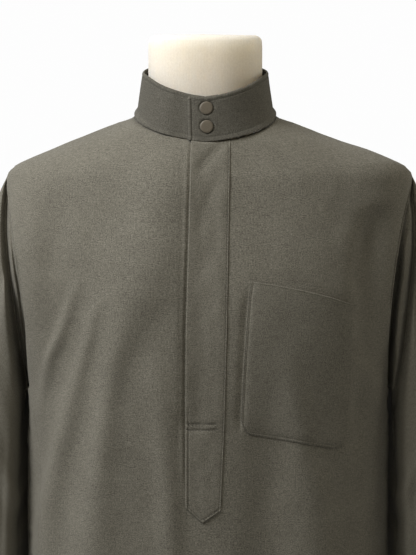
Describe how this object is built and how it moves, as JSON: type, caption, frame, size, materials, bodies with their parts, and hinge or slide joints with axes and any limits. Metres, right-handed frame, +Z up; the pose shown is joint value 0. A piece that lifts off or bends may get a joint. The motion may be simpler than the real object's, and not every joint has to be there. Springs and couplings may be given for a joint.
{
  "type": "long robe on a dress form",
  "caption": "Ankle-length long-sleeved robe of plain woven cloth with a band collar, front placket and chest pocket, on a limbless dress form.",
  "frame": {"origin": "on the floor under the middle of the round base", "axes": "+Z up, -Y out of the robe's front, +X towards the wearer's left"},
  "size_m": [0.5834, 0.3412, 1.5848],
  "materials": {
    "robe_front": "plain woven cloth, matte with a slight sheen",
    "robe_back": "plain woven cloth, matte with a slight sheen",
    "gore_left": "plain woven cloth, matte with a slight sheen",
    "gore_right": "plain woven cloth, matte with a slight sheen",
    "sleeve_left": "plain woven cloth, matte with a slight sheen",
    "sleeve_right": "plain woven cloth, matte with a slight sheen",
    "collar": "plain woven cloth, doubled and firm",
    "placket": "plain woven cloth, pressed flat",
    "chest_pocket": "plain woven cloth, matte with a slight sheen",
    "snap_upper": "matte taupe lacquer on metal",
    "snap_lower": "matte taupe lacquer on metal",
    "form_torso": "cream ribbed jersey drawn over a smooth shell",
    "form_pole": "satin",
    "form_base": "satin"
  },
  "bodies": {
    "root": {"robe_front": "robe_front", "robe_back": "robe_back", "gore_left": "gore_left", "gore_right": "gore_right", "sleeve_left": "sleeve_left", "sleeve_right": "sleeve_right", "collar": "collar", "placket": "placket", "chest_pocket": "chest_pocket", "snap_upper": "snap_upper", "snap_lower": "snap_lower", "form_torso": "form_torso", "form_pole": "form_pole", "form_base": "form_base"}
  },
  "joints": []
}
